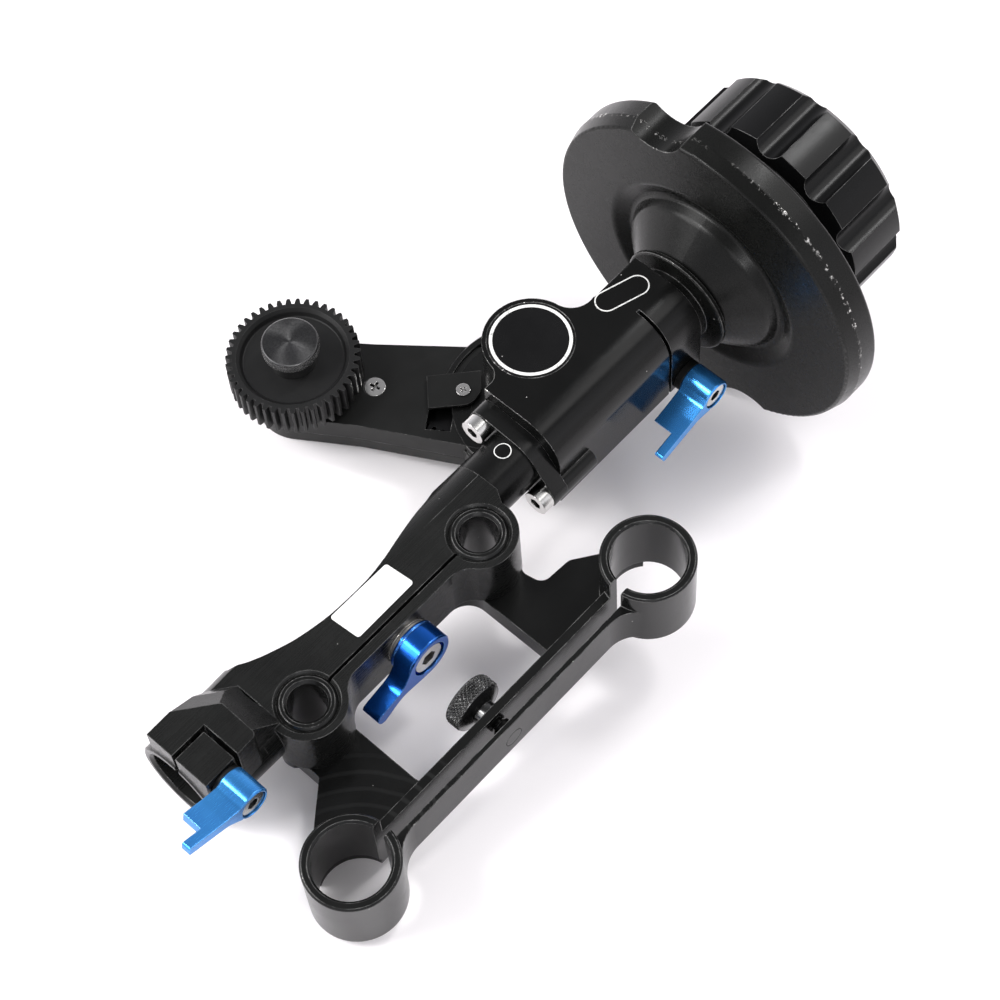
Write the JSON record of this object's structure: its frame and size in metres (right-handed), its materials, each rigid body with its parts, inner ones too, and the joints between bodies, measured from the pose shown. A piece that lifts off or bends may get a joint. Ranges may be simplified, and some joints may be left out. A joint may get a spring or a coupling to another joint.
{
  "type": "follow focus",
  "caption": "Rod-mounted lens follow focus with a handwheel, a geared drive box, a swinging gear arm and a clamp bracket for two support rods.",
  "frame": {"origin": "midway between the two support-rod axes, in the plane of the lower ring faces", "axes": "+X along the bridge towards the handwheel, +Y away from the rods towards the drive axis, +Z along the rods, towards the bridge's labelled top"},
  "size_m": [0.249, 0.1436, 0.0994],
  "materials": {
    "black_anodised": "satin anodised, turned and milled",
    "black_screw": "knurled, anodised, radially brushed top",
    "blue_anodised": "satin anodised",
    "stainless": "turned stainless steel",
    "bright_plate": "grey phosphated plate",
    "gear_steel": "cut steel gear",
    "bronze": "sintered bronze",
    "gear_black": "black acetal, moulded dull",
    "black_nylon": "dull",
    "white_label": "blank self-adhesive film"
  },
  "bodies": {
    "bracket": {"rod_bracket": "black_anodised", "bridge_posts": "black_anodised", "strip_insert": "black_anodised"},
    "rod_clamp_screw": {"clamp_thumbscrew": "black_screw"},
    "bridge": {"bridge_body": "black_anodised", "spigot_tube": "black_anodised", "label_plate": "white_label", "end_lever_washer": "black_nylon", "mid_spring_washers": "stainless", "housing_lever_washer": "black_nylon", "end_flange": "black_anodised", "flange_screws": "stainless", "gear_housing": "black_anodised", "bottom_cover": "black_anodised", "boss_cap": "black_anodised", "shaft_bushes": "bronze", "layshaft_bushes": "bronze", "pivot_bushes": "bronze"},
    "socket_lever": {"end_lever": "blue_anodised", "end_lever_screw": "stainless"},
    "bridge_lever": {"mid_lever": "blue_anodised", "mid_lever_screw": "stainless"},
    "drag_lever": {"housing_lever": "blue_anodised", "housing_lever_screw": "stainless"},
    "handwheel": {"handwheel_shaft": "stainless", "shaft_circlip": "stainless", "hub_collar": "black_anodised", "handwheel_disc": "black_anodised", "grip_knob": "black_anodised", "knob_screw": "stainless", "shaft_bevel_gear": "gear_steel"},
    "layshaft_group": {"layshaft": "gear_steel", "layshaft_bevel_gear": "gear_steel", "layshaft_spur_gear": "gear_steel"},
    "pivot_group": {"pivot_shaft": "gear_steel", "pivot_spur_gear": "gear_steel"},
    "arm": {"arm_housing": "black_anodised", "arm_cover": "black_anodised", "turret_drum": "black_anodised", "turret_race": "black_anodised", "stop_plate": "bright_plate", "stop_plate_screw": "stainless", "idler_axles": "stainless", "output_bushes": "bronze"},
    "arm_centre_gear": {"centre_gear": "gear_steel"},
    "arm_idler_inner": {"idler_gear_inner": "gear_steel"},
    "arm_idler_outer": {"idler_gear_outer": "gear_steel"},
    "drive": {"output_shaft": "gear_steel", "output_gear": "gear_steel", "drive_gear": "gear_black"},
    "drive_screw": {"gear_thumbscrew": "black_screw"}
  },
  "joints": [
    {"name": "clamp_screw_turn", "type": "hinge", "parent": "bracket", "child": "rod_clamp_screw", "pos_m": [-0.0003, 0.007, 0.00725], "axis": [0, 1, 0], "range_deg": [-360, 360]},
    {"name": "bridge_slide", "type": "slide", "parent": "bracket", "child": "bridge", "axis": [0, 0, 1], "range_m": [0, 0.012]},
    {"name": "socket_lever_turn", "type": "hinge", "parent": "bridge", "child": "socket_lever", "pos_m": [-0.0576, 0.03, 0.0254], "axis": [0, 1, 0], "range_deg": [-75, 30]},
    {"name": "bridge_lever_turn", "type": "hinge", "parent": "bridge", "child": "bridge_lever", "pos_m": [0, 0.03, 0.0122], "axis": [0, 1, 0], "range_deg": [-60, 45]},
    {"name": "drag_lever_turn", "type": "hinge", "parent": "bridge", "child": "drag_lever", "pos_m": [0.1074, 0.03, 0.0006], "axis": [0, 1, 0], "range_deg": [-60, 45]},
    {"name": "handwheel_spin", "type": "hinge", "parent": "bridge", "child": "handwheel", "pos_m": [0.13, 0.0467, 0.0125], "axis": [1, 0, 0], "continuous": true},
    {"name": "layshaft_spin", "type": "hinge", "parent": "bridge", "child": "layshaft_group", "pos_m": [0.0774, 0.0467, 0], "axis": [0, 0, 1], "continuous": true},
    {"name": "pivot_spin", "type": "hinge", "parent": "bridge", "child": "pivot_group", "pos_m": [0.0774, 0.061, 0], "axis": [0, 0, 1], "continuous": true},
    {"name": "arm_swing", "type": "hinge", "parent": "bridge", "child": "arm", "pos_m": [0.0774, 0.061, -0.008], "axis": [0, 0, 1], "range_deg": [-60, 40]},
    {"name": "centre_gear_spin", "type": "hinge", "parent": "arm", "child": "arm_centre_gear", "pos_m": [0.0774, 0.061, -0.01], "axis": [0, 0, 1], "continuous": true},
    {"name": "idler_inner_spin", "type": "hinge", "parent": "arm", "child": "arm_idler_inner", "pos_m": [0.06513, 0.07926, -0.01], "axis": [0, 0, 1], "continuous": true},
    {"name": "idler_outer_spin", "type": "hinge", "parent": "arm", "child": "arm_idler_outer", "pos_m": [0.05352, 0.09652, -0.01], "axis": [0, 0, 1], "continuous": true},
    {"name": "drive_spin", "type": "hinge", "parent": "arm", "child": "drive", "pos_m": [0.04192, 0.11378, -0.01], "axis": [0, 0, 1], "continuous": true},
    {"name": "drive_screw_turn", "type": "hinge", "parent": "drive", "child": "drive_screw", "pos_m": [0.04192, 0.11378, 0.008], "axis": [0, 0, 1], "range_deg": [-360, 360]}
  ],
  "couplings": [
    {"joint": "layshaft_spin", "follows": "handwheel_spin", "ratio": 1},
    {"joint": "pivot_spin", "follows": "handwheel_spin", "ratio": -1},
    {"joint": "centre_gear_spin", "follows": "handwheel_spin", "ratio": -1},
    {"joint": "idler_inner_spin", "follows": "handwheel_spin", "ratio": 1.1154},
    {"joint": "idler_outer_spin", "follows": "handwheel_spin", "ratio": -1.1154},
    {"joint": "drive_spin", "follows": "handwheel_spin", "ratio": 1.1154}
  ]
}
